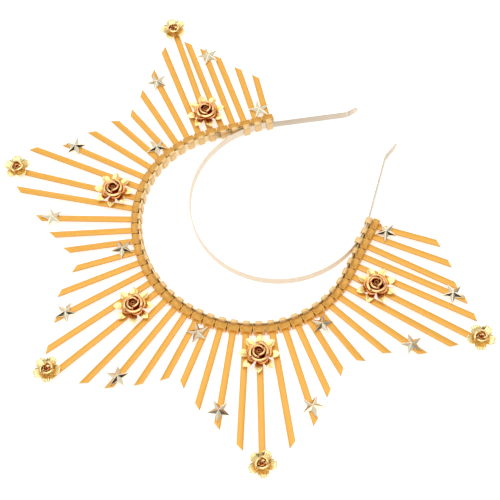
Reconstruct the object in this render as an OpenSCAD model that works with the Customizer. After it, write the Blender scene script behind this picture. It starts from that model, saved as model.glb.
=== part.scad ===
// Halo diadem lying flat, with the top of the crown towards +Y and its ornaments facing up.
// Strap ties are clasped side by side round a metal halo band, and their tails are the rays.
// The hair hoop is a second metal band inside it, held by the last ties at both ends.
// Lengths are in millimetres and turns in degrees.

/* [Ray line] */
// Radius of the ray line over the crown
crown_r = 85; // [84:0.5:86]
// Radius of the ray line round the sides
side_r = 67.5; // [67:0.5:69]
// Turn at which the crown arc meets the side arc
crown_turn = 50; // [48:1:52]
// Turn of the straight ends
end_turn = 115; // [114:1:116]
// Distance from one ray to the next along the ray line
pitch = 8.4; // [8.4:0.1:8.6]
// The same distance for the last rays at both ends, which sit closer
end_pitch = 8; // [7.9:0.1:8.2]

/* [Metal bands] */
// Height of both bands
band_h = 6; // [5:0.5:6]
// Thickness of both bands
band_t = 0.8; // [0.6:0.1:0.8]
// Distance from the ray line in to the middle of the halo band
band_inset = 5.75; // [5.7:0.05:5.9]
// Distance from the ray line down to the centre of the hair hoop
hoop_drop = 103.5; // [103:0.5:104.5]
// Turn of the hair hoop's arc on each side
hoop_turn = 124; // [123.5:0.5:124.5]
// Turn of the whole hair hoop about the centre of its arc
hoop_twist = 1.5; // [0:0.5:2]
// Length of the straight leg of the hair hoop on the +X side
leg_len = 52.5; // [44:0.5:54]
// How much shorter the other leg is, because the hoop was bent by hand
leg_less = 5.5; // [0:0.5:6]
// Length of the bent tab at the end of the +X leg
tab_len = 8; // [8:0.5:12]
// How much longer the other tab is
tab_more = 4.5; // [0:0.5:5]
// Turn of the bent tabs away from the legs
tab_turn = 23; // [15:1:30]

/* [Ties] */
// Width of the straps
strap_w = 4.2; // [3.6:0.1:4.4]
// Thickness of the straps
strap_t = 1.2; // [1:0.1:1.3]
// Width of the tie heads
head_w = 7.7; // [7:0.1:7.7]
// Depth of the tie heads along the ray
head_d = 4.5; // [4.3:0.1:4.7]
// Height of the tie heads
head_h = 6; // [5.6:0.1:6]
// Width of the tie heads at their outer face
head_tip_w = 7.2; // [6.8:0.1:7.4]
// Height of the clasp loops
clasp_h = 8.2; // [8.2:0.1:8.6]
// How much longer one edge of a ray is than the other at its slanted end
slant = 4.2; // [3:0.2:5]

/* [Ornaments] */
// Diameter of the roses over their leaves
rose_d = 27; // [25:0.5:27]
// Diameter of the blossoms at the five points
blossom_d = 18.5; // [17:0.5:19]
// Diameter of the stars over their points
star_d = 15.5; // [13:0.5:15.5]
// Height of a star at its middle
star_h = 3; // [2:0.2:3.4]

/* [Hidden] */
POINTS = 5;
RAYS_PER_POINT = 9;
RAYS = POINTS * RAYS_PER_POINT + 2;
MIDDLE_RAY = (RAYS + 1) / 2;
// Rays each side of the middle one that keep the full distance
EVEN_RAYS = 18;
MIDDLE_COLUMN = 4;
// A band is strips joined end in end. Each starts inside the one before it and is a little slimmer.
STRIP_LAP = 0.3;
STRIP_STEP = 0.02;

// Ray lengths, to the longer edge. A row is one point of the crown, from the +X end round to
// the -X end. The columns are its rays, four before the middle ray to four after it.
ray_lengths = [
    [47, 61, 70, 79, 92, 79, 64, 53, 44],
    [47, 54, 64, 84, 87.5, 83, 65, 55, 46],
    [43, 57, 66, 81, 87.5, 77, 69, 57, 46],
    [45, 56, 66, 78, 88.5, 78, 67, 52, 43],
    [43, 50, 67, 80, 92, 84, 74, 65, 55],
];
// How far each ray leans from square to the band, in the same rows and columns
ray_leans = [
    [-2, -5, -4.5, -5, -3.5, 0.5, 3, 4, 3.5],
    [5, 2.5, 1, 5, 4.5, 6.5, 2.5, 3.5, 4],
    [1, 0, -1.5, -2, -2, -3.5, -3, -3, -2.5],
    [-1.5, -2.5, -3, -3, -1, -1.5, -1.5, 0, 0.5],
    [-0.5, -2.5, -1, 0.5, 5.5, 2, 1.5, 3, -2],
];
// Length and lean of the two extra rays, at the +X end and at the -X end
end_rays = [[37, 1], [43, -6.5]];
// Roses: distance along their ray, distance aside from it, turn about their own axis
roses = [[14.5, 1.1, -3], [15.5, 0.8, 7], [17.8, 1.6, 3], [14.8, 0.1, -6], [16.5, -0.9, 3]];
// Blossoms: distance aside from their ray, turn about their own axis
blossoms = [[-0.4, 24], [1.4, 15], [4.4, 7], [0, 23], [-1.6, 22]];
// Distance of the blossoms from the end of their ray
blossom_back = 1.5;
// Tip stars: distance back from the end of their ray, distance aside from it
tip_stars = [
    [9, 1.8], [11.5, -0.4], [9, 0.5], [11.5, 0.3], [9.5, 0.3],
    [10.5, -0.3], [12, 0.2], [12, -1.2], [11, -0.5], [11, 0],
];
// Band stars: distance out from the ray line, distance along it
band_stars = [[6.6, 0.4], [6.8, 1.2], [7.4, 0], [7.3, -0.9], [6.9, -0.5], [6.6, -2]];

// Heights above the surface that the diadem lies on
clasp_mid = clasp_h / 2;
strap_top = clasp_mid;
strap_low = strap_top - strap_t;
head_low = strap_top - 3.9;
// Thickness of the glue under an ornament
glue = 0.1;
seat = strap_top + glue;

// Room between a band and the clasp loop round it
clasp_slack = 0.15;
clasp_wall = 0.9;
hole_h = clasp_h - 2 * clasp_wall;
hole_near = band_inset - band_t / 2 - clasp_slack;
// Rays at each end whose clasp goes round both bands
BOTH_BANDS = 3;

crown_len = crown_r * crown_turn * PI / 180;
side_len = side_r * (end_turn - crown_turn) * PI / 180;
// How far the halo band runs past the middle of the last tie
halo_end = 3.4;
end_len = ray_offset(1) + halo_end - crown_len - side_len;
side_centre = (crown_r - side_r) * [sin(crown_turn), cos(crown_turn)] - [0, crown_r];
hoop_centre = [0, -hoop_drop];
end_outward = [sin(end_turn), cos(end_turn)];
// The hoop's arc passes just inside the straight ends of the halo band
hoop_band_gap = 0.22;
hoop_r = end_outward * (side_centre + (side_r - band_inset) * end_outward - hoop_centre)
    - band_t - hoop_band_gap;
tab_bend_r = 4;

// Moves the middle of the outline, seen from above, over the origin
outline_mid = [-0.1, -47.6];

gold_strap = [0.96, 0.67, 0.28];
pale_gold = [0.93, 0.86, 0.72];
rose_gold = [0.90, 0.74, 0.45];
silver_gold = [0.80, 0.78, 0.68];

// Turn of the ray line at a distance along it from the top of the crown
function line_turn(d) =
    d < crown_len ? d / crown_r * 180 / PI
    : d < crown_len + side_len ? crown_turn + (d - crown_len) / side_r * 180 / PI
    : end_turn;

// Point of the ray line at a distance along it, on the +X side
function line_point(d) =
    let (t = line_turn(d), outward = [sin(t), cos(t)], along = [cos(t), -sin(t)])
    d < crown_len ? crown_r * outward - [0, crown_r]
    : side_centre + side_r * outward + max(0, d - crown_len - side_len) * along;

// Signed distance of a ray along the line: rays are numbered from the +X end
function ray_offset(ray) =
    let (count = abs(MIDDLE_RAY - ray))
    sign(MIDDLE_RAY - ray)
        * (min(count, EVEN_RAYS) * pitch + max(0, count - EVEN_RAYS) * end_pitch);
function ray_turn(offset) = sign(offset) * line_turn(abs(offset));
function ray_foot(offset) =
    let (p = line_point(abs(offset))) [(offset < 0 ? -1 : 1) * p[0], p[1]];

function is_end(ray) = ray == 1 || ray == RAYS;
function row(ray) = floor((ray - 2) / RAYS_PER_POINT);
function column(ray) = (ray - 2) % RAYS_PER_POINT;
function ray_length(ray) =
    is_end(ray) ? end_rays[ray == 1 ? 0 : 1][0] : ray_lengths[row(ray)][column(ray)];
function ray_lean(ray) =
    is_end(ray) ? end_rays[ray == 1 ? 0 : 1][1] : ray_leans[row(ray)][column(ray)];
// Side of the longer edge: it faces the middle ray of the point, whose own end is square
function long_side(ray) =
    ray == 1 ? -1 : ray == RAYS ? 1 : sign(column(ray) - MIDDLE_COLUMN);

// Distance from the ray line in to the hair hoop, square to the line at a ray
function hoop_distance(ray) =
    let (
        offset = ray_offset(ray),
        turn = ray_turn(offset),
        from_centre = ray_foot(offset) - hoop_centre,
        outward = [sin(turn), cos(turn)],
        b = outward * from_centre
    ) b - sqrt(b * b - from_centre * from_centre + hoop_r * hoop_r);

// How far the hoop runs aslant across half the width of a clasp
function hoop_skew(ray) =
    let (
        offset = ray_offset(ray),
        turn = ray_turn(offset),
        across = [cos(turn), -sin(turn)] * (ray_foot(offset) - hoop_centre)
    ) strap_w / 2 * abs(across) / hoop_r;

function holds_both(ray) = ray <= BOTH_BANDS || ray > RAYS - BOTH_BANDS;
// Far side of the hole in a clasp, in from the ray line
function hole_far(ray) =
    holds_both(ray) ? hoop_distance(ray) + hoop_skew(ray) + band_t / 2 + clasp_slack
    : band_inset + band_t / 2 + clasp_slack;

module on_outline() {
    translate([-outline_mid[0], -outline_mid[1], 0]) children();
}

// Frame at the foot of a ray: X along the ray line, Y outward
module at_ray(ray) {
    offset = ray_offset(ray);
    on_outline() translate(ray_foot(offset)) rotate(-ray_turn(offset)) children();
}

// Frame on a ray's strap, at a distance from its foot and aside from its middle
module on_ray(ray, distance, aside) {
    at_ray(ray) rotate(-ray_lean(ray)) translate([aside, distance, seat]) children();
}

module rounded_rect(low, high, r) {
    size = high - low;
    translate(low) {
        translate([r, 0]) square([size[0] - 2 * r, size[1]]);
        translate([0, r]) square([size[0], size[1] - 2 * r]);
        for (x = [r, size[0] - r], y = [r, size[1] - r]) translate([x, y]) circle(r, $fn = 24);
    }
}

// Cross-section of a band with eased edges, about its own middle. The place counts its strips.
module band_section(place) {
    ease = 0.2;
    x = band_t / 2 - place * STRIP_STEP;
    y = band_h / 2 - place * STRIP_STEP;
    polygon([
        [-x, -y + ease], [-x + ease, -y], [x - ease, -y], [x, -y + ease],
        [x, y - ease], [x - ease, y], [-x + ease, y], [-x, y - ease],
    ]);
}

module straight_strip(length, place) {
    translate([-STRIP_LAP, 0]) rotate([90, 0, 90])
        linear_extrude(length + STRIP_LAP) band_section(place);
}

// Strip bent round the origin, through a turn that starts at one angle
module arc_strip(r, from, turn, place) {
    rotate(from) rotate_extrude(angle = turn, $fn = 96) translate([r, 0]) band_section(place);
}

// Strip bent round a centre on its right, from heading +X
module bent_strip(r, turn, place) {
    lap = STRIP_LAP / r * 180 / PI;
    translate([0, -r]) arc_strip(r, 90 - turn, turn + lap, place);
}

// Moves to the end of a bend, heading along the strip
module past_bend(r, turn) {
    translate([r * sin(turn), -r * (1 - cos(turn))]) rotate(-turn) children();
}

// Halo band: one arc over the crown, then a closer arc and a straight end on each side
module halo_band() {
    crown = crown_r - band_inset;
    side = side_r - band_inset;
    color(pale_gold) on_outline() translate([0, -crown_r, clasp_mid]) {
        arc_strip(crown, 90 - crown_turn, 2 * crown_turn, 0);
        for (half = [0, 1]) mirror([half, 0, 0]) translate([0, crown]) past_bend(crown, crown_turn) {
            bent_strip(side, end_turn - crown_turn, 1);
            past_bend(side, end_turn - crown_turn) straight_strip(end_len, 2);
        }
    }
}

// Tab with a round end
module end_tab(length) {
    intersection() {
        straight_strip(length, 3);
        rotate([90, 0, 0]) translate([0, 0, -band_t]) linear_extrude(2 * band_t) {
            translate([-band_h, -band_h / 2]) square([length + band_h / 2, band_h]);
            translate([length - band_h / 2, 0]) circle(d = band_h, $fn = 48);
        }
    }
}

// Straight leg of the hair hoop, and its tab that bends outward again
module leg(length, tab) {
    straight_strip(length, 1);
    translate([length, 0]) mirror([0, 1, 0]) {
        bent_strip(tab_bend_r, tab_turn, 2);
        past_bend(tab_bend_r, tab_turn) end_tab(tab);
    }
}

module hair_hoop() {
    color(pale_gold) on_outline() translate([0, -hoop_drop, clasp_mid]) rotate(hoop_twist) {
        arc_strip(hoop_r, 90 - hoop_turn, 2 * hoop_turn, 0);
        for (half = [0, 1]) mirror([half, 0, 0])
            translate([0, hoop_r]) past_bend(hoop_r, hoop_turn)
                leg(leg_len - half * leg_less, tab_len + half * tab_more);
    }
}

// Loop round the band, seen along the band: Y outward, Z up
module clasp(far) {
    back = -far - clasp_wall;
    front = -hole_near + clasp_wall;
    rotate([90, 0, 90]) translate([0, 0, -strap_w / 2]) linear_extrude(strap_w) difference() {
        rounded_rect([back, 0], [front, clasp_h], 1);
        rounded_rect([-far, clasp_wall], [-hole_near, clasp_wall + hole_h], 0.3);
    }
}

// Head of a tie: it narrows towards the face that the strap comes out of
module tie_head() {
    x = head_w / 2;
    tip = head_tip_w / 2;
    intersection() {
        translate([0, 0, head_low]) rotate([90, 0, 0]) linear_extrude(head_d)
            rounded_rect([-x, 0], [x, head_h], 0.6);
        linear_extrude(clasp_h) polygon([
            [-x, -head_d], [x, -head_d], [x, -head_d * 0.6], [tip, 0],
            [-tip, 0], [-x, -head_d * 0.6],
        ]);
    }
}

// Strap tail from inside the head to its slanted end
module tail(length, side) {
    x = strap_w / 2;
    translate([0, 0, strap_low]) linear_extrude(strap_t) polygon([
        [x, -head_d / 3], [x, length - (side < 0 ? slant : 0)],
        [-x, length - (side > 0 ? slant : 0)], [-x, -head_d / 3],
    ]);
}

module tie(ray) {
    at_ray(ray) union() {
        clasp(hole_far(ray));
        tie_head();
        rotate(-ray_lean(ray)) tail(ray_length(ray), long_side(ray));
    }
}

// The ties of one point of the crown, loose from each other
module rays(point) {
    first = point == 1 ? 1 : 2 + (point - 1) * RAYS_PER_POINT;
    last = point == POINTS ? RAYS : 1 + point * RAYS_PER_POINT;
    color(gold_strap) for (ray = [first:last]) tie(ray);
}

function middle_ray(point) = (point - 1) * RAYS_PER_POINT + 2 + MIDDLE_COLUMN;

// Part of a thin bowl: it is flat in the middle and rises by bowl_h at radius r
module bowl(r, bowl_h, wall) {
    ball = (r * r + bowl_h * bowl_h) / (2 * bowl_h);
    translate([0, 0, ball]) difference() {
        sphere(ball, $fn = 96);
        sphere(ball - wall, $fn = 96);
    }
}

// Pointed oval between two arcs, along X from the origin
module leaf_outline(length, width) {
    r = (length * length + width * width) / (4 * width);
    translate([length / 2, 0]) intersection_for (side = [-1, 1])
        translate([0, side * (r - width / 2)]) circle(r, $fn = 72);
}

// Upright petal: part of a flaring cup, from one radius at its foot to another at its rim
module cup_petal(r_low, r_high, low, high, wall, turn) {
    lean = (r_high - r_low) / 3;
    rotate_extrude(angle = turn, $fn = 48) polygon([
        [r_low - wall, low], [r_low, low], [r_low + 2 * lean, (low + 2 * high) / 3],
        [r_high, high], [r_high - wall, high], [r_low + lean - wall, (low + high) / 2],
    ]);
}

// Rose: eight leaves, five open petals, three cupped petals and a coiled bud
module rose() {
    leaf = rose_d / 2;
    plate_h = 0.9;
    petal_h = 3.6;
    wall = 0.6;
    color(rose_gold) {
        cylinder(r = 4.2, h = plate_h, $fn = 48);
        intersection() {
            bowl(leaf, 2.6, wall);
            translate([0, 0, -1]) linear_extrude(petal_h + 2)
                for (i = [0:7]) rotate(i * 45) translate([2.5, 0]) leaf_outline(leaf - 2.5, 4.6);
        }
        intersection() {
            translate([0, 0, 0.4]) bowl(8.4, petal_h, wall);
            linear_extrude(petal_h + 2)
                for (i = [0:4]) rotate(i * 72 + 18) translate([4.6, 0]) circle(3.9, $fn = 48);
        }
        for (i = [0:2]) rotate(i * 120) cup_petal(3.4, 6.4 - 0.5 * i, 0.3, 6.4 + 0.3 * i, wall, 150);
        cup_petal(2, 3.2, 0.3, 7.2, wall, 300);
        rotate(200) cup_petal(1.2, 1.6, 0.3, 6.8, wall, 250);
    }
}

// Blossom: five notched petals round a small coiled bud
module blossom() {
    reach = blossom_d / 2;
    petal_r = blossom_d / 4.6;
    wall = 0.6;
    color(rose_gold) {
        cylinder(r = 3, h = 0.8, $fn = 48);
        intersection() {
            bowl(reach, 2.4, wall);
            translate([0, 0, -1]) linear_extrude(5) difference() {
                for (i = [0:4]) rotate(i * 72) translate([reach - petal_r, 0])
                    circle(petal_r, $fn = 48);
                for (i = [0:4]) rotate(i * 72) translate([reach + 0.2, 0])
                    circle(0.7, $fn = 24);
            }
        }
        for (i = [0:1]) rotate(i * 180) cup_petal(2, 3.5 - 0.3 * i, 0.3, 3.8, wall, 200);
        cup_petal(1.1, 1.5, 0.3, 4.2, wall, 280);
    }
}

// Faceted star: ridges run from the middle to its five points, one of them towards +Y
module star() {
    rim = 1;
    notch_r = star_d * 0.2;
    outline = [for (i = [0:9])
        let (r = i % 2 == 0 ? star_d / 2 : notch_r, a = 90 + i * 36) [r * cos(a), r * sin(a)]];
    low = [for (p = outline) [p[0], p[1], 0]];
    high = [for (p = outline) [p[0], p[1], rim]];
    top = 20;
    base = 21;
    color(silver_gold) polyhedron(
        concat(low, high, [[0, 0, star_h], [0, 0, 0]]),
        concat(
            [for (i = [0:9]) [i, (i + 1) % 10, base]],
            [for (i = [0:9]) [i, i + 10, (i + 1) % 10 + 10, (i + 1) % 10]],
            [for (i = [0:9]) [i + 10, top, (i + 1) % 10 + 10]]
        )
    );
}

// Tip stars sit two rays before and two rays after the middle ray of each point
module tip_star(number) {
    point = ceil(number / 2);
    ray = middle_ray(point) + (number % 2 == 1 ? -2 : 2);
    place = tip_stars[number - 1];
    on_ray(ray, ray_length(ray) - place[0], place[1]) star();
}

// Band stars bridge the two rays where one point of the crown meets the next
module band_star(number) {
    ray = 1 + (number - 1) * RAYS_PER_POINT;
    offset = ray_offset(ray + 0.5);
    on_outline() translate(ray_foot(offset)) rotate(-ray_turn(offset))
        translate([band_stars[number - 1][1], band_stars[number - 1][0], seat]) star();
}

module rose_at(point) {
    place = roses[point - 1];
    on_ray(middle_ray(point), place[0], place[1]) rotate(place[2]) rose();
}

module blossom_at(point) {
    ray = middle_ray(point);
    place = blossoms[point - 1];
    on_ray(ray, ray_length(ray) - blossom_back, place[0]) rotate(place[1]) blossom();
}

hair_hoop();
halo_band();
for (p = [1:POINTS]) {
    rays(p);
    rose_at(p);
    blossom_at(p);
}
for (s = [1:2 * POINTS])
    tip_star(s);
for (s = [1:POINTS + 1])
    band_star(s);
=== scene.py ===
# %% [markdown]
# # A halo diadem of gold ties, roses and stars
# The real thing is made by hand. Two thin metal bands carry plastic strap ties, pulled tight side
# by side, and the tails of the ties stand out as the rays of a halo. Cast roses, blossoms and
# faceted stars are glued on top. This lesson dresses the finished CAD model of it: the model gives
# every size and place, and here each piece gets its edges, its petals and its metal.

import math
from dataclasses import dataclass

import bmesh
import bpy
import numpy as np
from mathutils import Matrix, Vector


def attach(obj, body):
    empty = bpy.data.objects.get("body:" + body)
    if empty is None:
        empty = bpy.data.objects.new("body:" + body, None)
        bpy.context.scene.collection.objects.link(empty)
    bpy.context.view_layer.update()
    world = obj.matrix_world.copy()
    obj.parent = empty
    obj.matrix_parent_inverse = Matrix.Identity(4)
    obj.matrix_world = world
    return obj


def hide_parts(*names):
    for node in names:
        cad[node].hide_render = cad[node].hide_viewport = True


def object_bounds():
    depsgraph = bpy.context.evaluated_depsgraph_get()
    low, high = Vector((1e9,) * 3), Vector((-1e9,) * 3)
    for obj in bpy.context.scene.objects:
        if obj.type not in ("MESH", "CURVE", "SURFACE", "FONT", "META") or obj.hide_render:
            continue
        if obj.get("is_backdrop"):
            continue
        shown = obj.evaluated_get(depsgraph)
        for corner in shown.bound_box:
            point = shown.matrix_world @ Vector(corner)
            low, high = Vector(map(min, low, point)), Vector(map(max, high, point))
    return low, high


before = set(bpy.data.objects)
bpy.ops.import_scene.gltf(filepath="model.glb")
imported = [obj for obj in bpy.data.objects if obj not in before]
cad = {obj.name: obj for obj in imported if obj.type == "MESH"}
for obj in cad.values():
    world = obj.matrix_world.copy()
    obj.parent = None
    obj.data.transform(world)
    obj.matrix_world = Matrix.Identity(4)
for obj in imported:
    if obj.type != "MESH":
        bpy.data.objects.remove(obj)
cad_low, cad_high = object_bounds()
size = [round((b - a) * 1000, 1) for a, b in zip(cad_low, cad_high)]
print("CAD nodes:", len(cad), "overall size in mm:", size)

# %% [markdown]
# Lengths below are written in millimetres, because that is how a maker thinks of something this
# small. The scene is in metres, so each mesh is scaled once, when it is made. The crown has five
# points, and each has its own fan of ties, one rose and one blossom.

# %% Units
MM = 0.001
POINTS = 5
print("one millimetre is", MM, "m, and the crown has", POINTS, "points")

# %% [markdown]
# Node trees, for materials and for shapes, are built by one small helper. It sets a node's options
# first and its sockets after, because some sockets only appear once an option is chosen. What it
# returns can be used in sums, so a formula in the script reads like a formula.


# %% A helper that writes node trees
class Value:
    """An output socket that can be added, multiplied and so on."""

    def __init__(self, graph, socket):
        self.graph = graph
        self.socket = socket

    def math(self, operation, *others):
        numbers = {i: v for i, v in enumerate((self, *others))}
        return self.graph.node("ShaderNodeMath", {"operation": operation}, numbers)

    def __add__(self, other):
        return self.math("ADD", other)

    def __sub__(self, other):
        return self.math("SUBTRACT", other)

    def __mul__(self, other):
        return self.math("MULTIPLY", other)

    def __truediv__(self, other):
        return self.math("DIVIDE", other)

    def __pow__(self, other):
        return self.math("POWER", other)

    def __abs__(self):
        return self.math("ABSOLUTE")

    def __rsub__(self, other):
        return self.graph.node("ShaderNodeMath", {"operation": "SUBTRACT"}, {0: other, 1: self})

    __radd__ = __add__
    __rmul__ = __mul__

    def clamp(self):
        options = {"operation": "ADD", "use_clamp": True}
        return self.graph.node("ShaderNodeMath", options, {0: self, 1: 0.0})


class Graph:
    """Adds nodes to a tree: options first, then the values or links of its sockets."""

    def __init__(self, tree):
        self.tree = tree

    def node(self, kind, options=None, sockets=None, out=0):
        made = self.tree.nodes.new(kind)
        for name, value in (options or {}).items():
            setattr(made, name, value)
        for key, value in (sockets or {}).items():
            self.feed(made.inputs[key], value)
        return Value(self, made.outputs[out])

    def feed(self, socket, value):
        if isinstance(value, Value):
            self.tree.links.new(value.socket, socket)
        else:
            socket.default_value = value

    def mix(self, factor, a, b):
        """Mixes two colours."""
        options = {"data_type": "RGBA"}
        return self.node("ShaderNodeMix", options, {"Factor": factor, 6: a, 7: b}, out=2)


print("node helper ready")

# %% [markdown]
# A shape tree starts from its inputs, which are named and typed, and ends by turning its instances
# into real faces and giving them their material. An exported model loses instances, so this last
# step matters. The finished result is read back as a plain mesh, and the modifier goes away.


# %% Helpers for shape trees
SOCKETS = {float: "NodeSocketFloat", int: "NodeSocketInt", bpy.types.Object: "NodeSocketObject"}


def shape_tree(name, inputs):
    """A geometry tree with its named inputs, as (graph, {name: Value})."""
    tree = bpy.data.node_groups.new(name, "GeometryNodeTree")
    face = tree.interface
    face.new_socket(name="Geometry", in_out="OUTPUT", socket_type="NodeSocketGeometry")
    face.new_socket(name="Geometry", in_out="INPUT", socket_type="NodeSocketGeometry")
    for label, kind in inputs.items():
        face.new_socket(name=label, in_out="INPUT", socket_type=SOCKETS[kind])
    face.new_socket(name="Material", in_out="INPUT", socket_type="NodeSocketMaterial")
    start = tree.nodes.new("NodeGroupInput")
    graph = Graph(tree)
    return graph, {s.name: Value(graph, s) for s in start.outputs if s.name}


def finish_tree(graph, geometry, material):
    real = graph.node("GeometryNodeRealizeInstances", None, {0: geometry})
    painted = graph.node("GeometryNodeSetMaterial", None, {"Geometry": real, "Material": material})
    end = graph.tree.nodes.new("NodeGroupOutput")
    graph.feed(end.inputs[0], painted)


def new_object(name, mesh):
    made = bpy.data.objects.new(name, mesh)
    bpy.context.scene.collection.objects.link(made)
    return made


def as_plain_mesh(source, name):
    """The evaluated object as a new plain mesh object. The source is deleted."""
    view = bpy.context.evaluated_depsgraph_get()
    mesh = bpy.data.meshes.new_from_object(source.evaluated_get(view))
    bpy.data.objects.remove(source)
    mesh.name = name
    return new_object(name, mesh)


def grow(source, tree, name, **values):
    """Runs a shape tree on an object, with its inputs given by name."""
    modifier = source.modifiers.new(name, "NODES")
    modifier.node_group = tree
    names = {s.name: s.identifier for s in tree.interface.items_tree if s.in_out == "INPUT"}
    for label, value in values.items():
        modifier[names[label.replace("_", " ").capitalize()]] = value
    return as_plain_mesh(source, name)


def smooth(piece, angle):
    """Smooth shading that keeps every edge sharper than the angle, in degrees."""
    piece.data.shade_smooth()
    piece.data.set_sharp_from_angle(angle=math.radians(angle))


print("shape helpers ready")

# %% [markdown]
# ## Metals and paint
# Five finishes make the object: gold paint on plastic for the ties, a pale gold for the hair hoop,
# a warmer one for the halo band, a deeper gold for the cast flowers, and champagne gold for the
# stars. A photograph of metal could be laid over each, but its light would be fixed. Shaders with
# a little noise in colour, roughness and surface take the light of any room.


# %% Shader helpers
def shader(name):
    """A new material: its graph and its main shader node."""
    material = bpy.data.materials.new(name)
    material.use_nodes = True
    return material, Graph(material.node_tree), material.node_tree.nodes["Principled BSDF"]


def linear(red, green, blue):
    """A colour picked on screen, 0 to 255, as the linear colour that materials are mixed in."""
    parts = [c / 255 for c in (red, green, blue)]
    return (*[c / 12.92 if c <= 0.04045 else ((c + 0.055) / 1.055) ** 2.4 for c in parts], 1.0)


def noise(graph, scale):
    """Noise from 0 to 1 in the object's own place. Scale is in patches per metre."""
    place = graph.node("ShaderNodeTexCoord", out="Object")
    return graph.node("ShaderNodeTexNoise", None, {"Vector": place, "Scale": scale, "Detail": 3.0})


def attribute(graph, name):
    return graph.node("ShaderNodeAttribute", {"attribute_name": name}, out="Fac")


def grain(graph, main, scale, strength):
    """A fine unevenness, a tenth of a millimetre high at full strength."""
    ups = {"Strength": strength, "Distance": 0.1 * MM, "Height": noise(graph, scale)}
    graph.feed(main.inputs["Normal"], graph.node("ShaderNodeBump", None, ups))


def polish(graph, main, rough, spread, strength, metallic=1.0):
    """An uneven polish: a little noise in the roughness and in the surface."""
    graph.feed(main.inputs["Roughness"], noise(graph, 600) * spread + rough)
    main.inputs["Metallic"].default_value = metallic
    grain(graph, main, 1800, strength)


print("a screen white is", linear(255, 255, 255))

# %% [markdown]
# The ties are painted gold. The paint looks bright on the straps and browner on the heads. Light and shade
# are painted in as well: the loops are painted paler as a painted highlight on their rounded tops, painted
# shade darkens the straps towards their edges and the seams between two heads, and the front face of each
# head gets its strap's lighter colour as painted light. One material serves the whole tie, which is
# simpler than one for each part: the shape tree below leaves a mark on every point, and the shader mixes
# its colours by those marks.

# %% Paint of the ties
STRAP_GOLD, STRAP_EDGE_SHADE, STRAP_DULL = linear(237, 175, 63), linear(212, 150, 74), linear(229, 161, 49)
HEAD_BROWN, HEAD_LIGHT = linear(184, 136, 34), linear(236, 172, 76)
LOOP_HIGHLIGHT, PAINTED_SEAM_SHADE = linear(238, 202, 142), linear(112, 62, 16)


def tie_paint():
    material, graph, main = shader("gold_tie_paint")
    shade = attribute(graph, "shade")
    loop, head = shade.clamp(), (0.0 - shade).clamp()
    # Painted shade: the strap is painted darker towards its two rounded edges.
    rim = (abs(attribute(graph, "across")) ** 4.0) * 0.6
    strap = graph.mix(rim, STRAP_GOLD, STRAP_EDGE_SHADE)
    mottled = graph.mix(noise(graph, 160) * 0.35, strap, STRAP_DULL)
    block = graph.mix(noise(graph, 420), HEAD_BROWN, HEAD_LIGHT)
    with_head = graph.mix(head * 0.9, mottled, block)
    # Painted highlight: the loops are painted paler where their rounded tops catch the light.
    with_loop = graph.mix(loop * 0.85, with_head, LOOP_HIGHLIGHT)
    # Painted shade: the seams between two heads and the loop walls next to the heads are painted dark.
    seam = attribute(graph, "seam") * 0.75
    graph.feed(main.inputs["Base Color"], graph.mix(seam, with_loop, PAINTED_SEAM_SHADE))
    graph.feed(main.inputs["Roughness"], noise(graph, 400) * 0.16 + 0.36)
    main.inputs["Metallic"].default_value = 0.3
    main.inputs["Coat Weight"].default_value = 0.2
    main.inputs["Coat Roughness"].default_value = 0.3
    grain(graph, main, 2500, 0.12)
    return material


paint = tie_paint()
print("the ties wear", paint.name)

# %% [markdown]
# Bands and stars are plain metal with a little patina, so one function makes their three finishes.
# The stars are mirrors. The bands could be mirrors too, but then they would show the dark side of
# the room as a grey strip, and the real ones look soft and pale all round. A low metallic value
# gives them that.


# %% Gold of the bands and stars
def plain_gold(name, colour, patina, rough, spread, metallic=1.0):
    material, graph, main = shader(name)
    graph.feed(main.inputs["Base Color"], graph.mix(noise(graph, 240) * 0.5, colour, patina))
    polish(graph, main, rough, spread, 0.05, metallic)
    return material


hoop_gold = plain_gold("pale_gold_band", linear(244, 226, 202), linear(234, 214, 190), 0.32, 0.1, 0.25)
halo_gold = plain_gold("golden_band", linear(255, 236, 186), linear(250, 220, 160), 0.38, 0.12, 0.25)
star_gold = plain_gold("champagne_star_gold", linear(250, 240, 214), linear(240, 224, 188), 0.06, 0.08)
print("bands and stars wear", [m.name for m in (hoop_gold, halo_gold, star_gold)])

# %% [markdown]
# The flowers look cast. Their gold is palest on the leaves and the outer petals, and rosier on the cups.
# Down in the hollows, where gold only reflects gold, shade and reflection are painted in: the deeper a
# point lies, the more its colour turns to an orange foot and then to a dark red brown. Each flower's mesh
# carries two marks for this, how pale a point is and how much painted shade its depth gives it, and the
# shader reads both.

# %% Gold of the flowers
PETAL_ROSE, PETAL_WORN, PETAL_FOOT_SHADE = linear(248, 198, 144), linear(240, 178, 110), linear(236, 160, 78)
LEAF_PALE, LEAF_WORN, LEAF_FOOT_SHADE = linear(250, 230, 170), linear(242, 208, 124), linear(236, 184, 92)
HOLLOW_SHADE_RED = linear(186, 78, 48)


def flower_metal():
    material, graph, main = shader("cast_flower_gold")
    pale, deep = attribute(graph, "pale"), attribute(graph, "deep")
    rosy = graph.mix(noise(graph, 300) * 0.5, PETAL_ROSE, PETAL_WORN)
    leafy = graph.mix(noise(graph, 300) * 0.5, LEAF_PALE, LEAF_WORN)
    top = graph.mix(pale, rosy, leafy)
    # Painted shade and reflection: deeper points turn to the orange foot colour, and the deepest to the
    # dark red of the hollows.
    foot = graph.mix(pale, PETAL_FOOT_SHADE, LEAF_FOOT_SHADE)
    shaded = graph.mix((deep * 2.4).clamp(), top, foot)
    hollow_shade = (deep * 2.2 - 1.1).clamp()
    graph.feed(main.inputs["Base Color"], graph.mix(hollow_shade, shaded, HOLLOW_SHADE_RED))
    polish(graph, main, 0.2, 0.16, 0.12)
    return material


flower_gold = flower_metal()
print("the flowers wear", flower_gold.name)

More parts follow.
